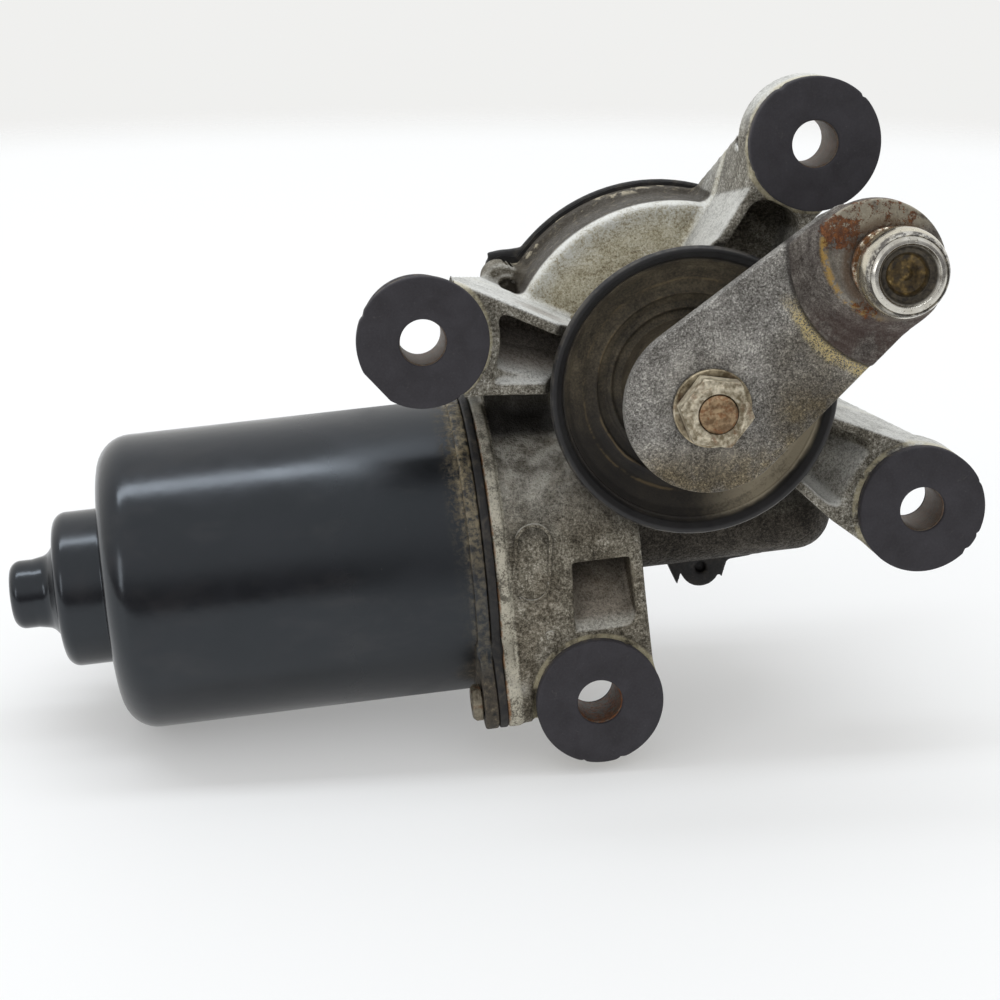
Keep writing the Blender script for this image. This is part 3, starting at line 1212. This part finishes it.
def shaft_seal():
    corners = [
        (-1.5, 28.7, 0.5), (-1.4, 29.5, 0.6), (-0.4, 29.95, 0.8), (1.0, 29.6, 0.5), (2.0, 28.9, 0.4),
        (4.5, 27.3, 1), (8.1, 22, 2),
        (9.5, 16, 1), (9.5, 11.8, 0.3), (-0.5, 11.8, 0.2), (-0.5, 13.5, 0.4), (7.5, 13.9, 0.6), (7.6, 15.6, 0.6),
        (6.7, 16.2, 0.4), (6.9, 17.0, 0.4), (7.3, 17.4, 0.5), (6.6, 19.0, 0.5), (5.6, 19.3, 0.4), (5.8, 20.2, 0.4),
        (5.6, 21.6, 1.2), (3.1, 25.4, 2), (1.4, 26.6, 1), (0.9, 26.7, 0.3), (0.6, 27.1, 0.3), (-0.6, 27.6, 0.5),
    ]
    turned_piece("shaft_seal_moulded", "shaft_seal", corners, 4, 192, sharp=60)
    turned_piece("shaft_washer_disc", "shaft_washer", ring(-8.3, -7.3, 5.3, 9.5, 0.15, 0.2), 3, 96)
    clip = Field((-9.04, -11.04, -9.04), (9, -7, 9), 0.15)
    clip.add(rod_y(7.6, -9.8, -8.6, (0, 0), 0.2))
    clip.cut(rod_y(5.3, -11, -7, (0, 0)), 0.1)
    clip.cut(prism([(0, 0), (12, -5), (12, 5)], -11, -7), 0.4)
    place_piece(clip.surface("shaft_clip_ring", 0.5), "shaft_clip")


def output_shaft():
    pitch = 1.25
    rows = [(a, 3.9, 0) for a in np.arange(-23.6, -17.6, 0.16)]
    corners = [
        (-24.3, 0, 0), (-24.3, 3.1, 0.3), (-23.7, 3.75, 0), *rows, (-16.6, 3.9, 0), (-16.6, 4.4, 0), (-13.2, 5, 0.2),
        (29, 5, 0.2), (29, 6.3, 0.3), (40, 6.3, 0.3), (40, 4, 0.2), (43, 3.4, 0.3), (43, 0, 0),
    ]

    def thread(along, radius, angle):
        zone = (along > -23.65) & (along < -17.6) & (radius > 3.8)
        share = (along / pitch + angle / TURN) % 1
        groove = 0.62 * np.clip(1 - np.abs(share - 0.5) * 2.6, 0, 1)
        return along, radius - np.where(zone, groove, 0)

    turned_piece("output_shaft_turned", "output_shaft", corners, 3, 96, shape=thread, sharp=30)


def crank_arm():
    plan = strap((0, 0), 17.35, CRANK_TIP, 14.2, 60)
    arm = Field((-19.07, -23.57, -19.07), (49.5, -12, 40), 0.25)
    arm.add(prism(plan, CRANK_FRONT, CRANK_REAR, 0.45))
    arm.add(overlap(prism(plan, -18.0, -16.5, 0.4), rod_y(25, -18, -16, CRANK_LEDGE, 0.45), 0.4), 0.5)
    step = [(-16, 0, 0), (-16, 19.6, 0), (-18, 18.5, 0.6), (-20.6, 16.0, 1.2), (-21.6, 14.9, 0.9), (-21.6, 0, 0)]
    arm.add(overlap(prism(plan, -21.6, -16.5, 0.5), turned(rounded(step, 4), "y", CRANK_PLATEAU), 0.5), 0.5)
    arm.cut(turned([(-18.4, 0), (-18.4, 12.4), (-12.8, 15.6), (-12.8, 0)], "y", CRANK_PLATEAU), 0.4)
    arm.cut(turned([(-18, 0), (-18, 4.7), (-17, 4.7), (-13.8, 5.3), (-12.8, 5.3), (-12.8, 0)]), 0.2)
    arm.cut(rod_y(4.3, -30, 0, BALL), 0.2)
    place_piece(arm.surface("crank_arm_pressed", 0.35), "crank_arm")

    turned_piece("crank_washer_disc", "crank_washer", ring(-18.3, -17.1, 4.2, 7.9, 0.2, 0.3), 3, 96)

    nut = Field((-9.04, -24.54, -9.04), (9, -17.5, 9), 0.15)
    dome = [(-18.4, 0), (-18.4, 7.6), (-22.8, 7.6), (-23.2, 7.0), (-23.25, 0)]
    nut.add(overlap(prism(hexagon(13, (0, 0), -0.22), -23.4, -18.4, 0.2), turned(dome), 0.2))
    nut.add(turned([(-23.0, 0), (-23.0, 5.9), (-23.4, 5.6), (-23.75, 5.1), (-23.75, 0)]), 0.3)
    nut.cut(turned([(-24.5, 0), (-24.5, 4.05), (-23.3, 3.94), (-17, 3.94), (-17, 0)]), 0.12)
    place_piece(nut.surface("crank_nut_hex", 0.5), "crank_nut")


BALL_FLAT = 4.8  # from the ball's middle to its cut-off front
BALL_NECK = 5.0
BALL_MOUTH = [  # (behind the front, radius, corner radius) round the hollow in the ball's front
    (1.9, 0, 0.3), (2.9, 1.3, 0.5), (3.3, 2.6, 0.6), (3.0, 3.7, 0.5), (1.6, 4.3, 0.3),
    (1.5, 5.0, 0.2), (0.35, 5.9, 0.2), (0, 6.15, 0.1), (0.12, 6.8, 0.2), (0.9, 7.75, 0.5),
]


def ball_stud():
    front = BALL_Y - BALL_FLAT
    top = math.acos(BALL_FLAT / BALL_R)
    sweep = math.pi - math.asin(BALL_NECK / BALL_R) - top
    turns = [top + sweep * i / 26 for i in range(1, 26)]
    sphere = [(BALL_Y - BALL_R * math.cos(t), BALL_R * math.sin(t), 0) for t in turns]
    corners = [
        *[(front + along, radius, corner) for along, radius, corner in BALL_MOUTH],
        *sphere,
        (-24.2, 5.0, 0.8), (-23.1, 5.6, 0.4), (-23.1, 7.6, 0.4), (-21.9, 7.6, 0.3), (-21.9, 4.0, 0), (-18.1, 4.0, 0),
        (-18.1, 6, 0.3), (-16.9, 5.4, 0.3), (-16.9, 0, 0),
    ]
    turned_piece("ball_stud_turned", "ball_stud", corners, 4, 128, BALL, sharp=45)


gear_housing()
motor_can()
for which, lug in zip(("lower", "upper"), LUGS):
    yoke_screw("yoke_screw_" + which, lug)
gear_cover()
foot_bushes()
shaft_seal()
output_shaft()
crank_arm()
ball_stud()

# ---- CAD parts that stay as they are

for name, node in plain.items():
    node.data.materials.clear()
    node.data.materials.append(MATERIALS[SLOTS[name]])

# ---- stage and light

FLOOR_UP = Vector((0.07, -0.17, 0.98)).normalized()
FLOOR_AT = -80.5 * MM

floor_mesh = bpy.data.meshes.new("floor")
FLOOR_HALF = 3.0
square = [(FLOOR_HALF * a, FLOOR_HALF * b, 0) for a, b in ((-1, -1), (1, -1), (1, 1), (-1, 1))]
floor_mesh.from_pydata(square, [], [(0, 1, 2, 3)])
floor = bpy.data.objects.new("floor", floor_mesh)
scene.collection.objects.link(floor)
floor.rotation_mode = "QUATERNION"
floor.rotation_quaternion = FLOOR_UP.to_track_quat("Z", "Y")
floor.location = FLOOR_UP * FLOOR_AT

FLOOR_SHADER = {
    "Base Color": (0.62, 0.62, 0.615, 1),
    "Emission Color": (1, 1, 0.99, 1),
    "Emission Strength": 0.3,
    "Roughness": 0.5,
    "Specular IOR Level": 0.25,
}
FLOOR_FADES = (0.955, 1.03)  # metres from the camera between which the floor gives way to the room

paper = bpy.data.materials.new("floor")
paper.use_nodes = True
ground = Nodes(paper.node_tree)
shader = ground.tree.nodes["Principled BSDF"]
for socket_name, value in FLOOR_SHADER.items():
    shader.inputs[socket_name].default_value = value
spot = ground.node("NewGeometry").outputs
reach = ground.vector("DISTANCE", spot["Position"], tuple(v * MM for v in CAMERA_AT))
gone = ground.calc("MAXIMUM", ground.span(reach, *FLOOR_FADES), spot["Backfacing"])
clear = ground.node("BsdfTransparent").outputs[0]
blend = ground.node("MixShader", gone, shader.outputs[0], clear).outputs[0]
ground.feed(ground.tree.nodes["Material Output"].inputs["Surface"], blend)
floor_mesh.materials.append(paper)

# a soft room: pale wall behind, bright overhead, dimmer on the camera's side
WALL = (0.871, 0.871, 0.858, 1)
NEAR = (0.8, 0.8, 0.81, 1)
LEVEL = (0.2, 0.197, 0.205, 1)
OVERHEAD = (0.84, 0.85, 0.86, 1)

world = bpy.data.worlds.new("room")
scene.world = world
world.use_nodes = True
room = Nodes(world.node_tree)
_, toward_y, toward_z = room.split(room.node("TexCoord").outputs["Generated"])
camera_side = room.mix(room.span(toward_z, 0.0, 0.42), LEVEL, NEAR)
round_room = room.mix(room.span(toward_y, -0.35, 0.6), camera_side, WALL)
sky = room.mix(room.span(toward_z, 0.25, 0.85), round_room, OVERHEAD)
room.feed(room.tree.nodes["Background"].inputs["Color"], sky)


def softbox(name, place, target, size, power, colour=(1, 1, 1)):
    light = bpy.data.lights.new(name, "AREA")
    light.shape = "RECTANGLE"
    light.size, light.size_y = size
    light.energy = power
    light.color = colour
    lamp = bpy.data.objects.new(name, light)
    scene.collection.objects.link(lamp)
    lamp.location = place
    lamp.rotation_mode = "QUATERNION"
    lamp.rotation_quaternion = (Vector(target) - Vector(place)).to_track_quat("-Z", "Y")


softbox("overhead", (-0.05, 0.02, 1.15), (-0.05, 0, 0), (1.5, 0.2), 6.2, (0.94, 0.985, 1.04))
softbox("side", (-1.1, -0.75, 0.35), (-0.08, 0, 0), (0.25, 0.5), 1.2, (0.97, 0.985, 1.0))

scene.view_settings.view_transform = "Standard"
scene.view_settings.look = "None"
scene.view_settings.exposure = 0
scene.view_settings.gamma = 1
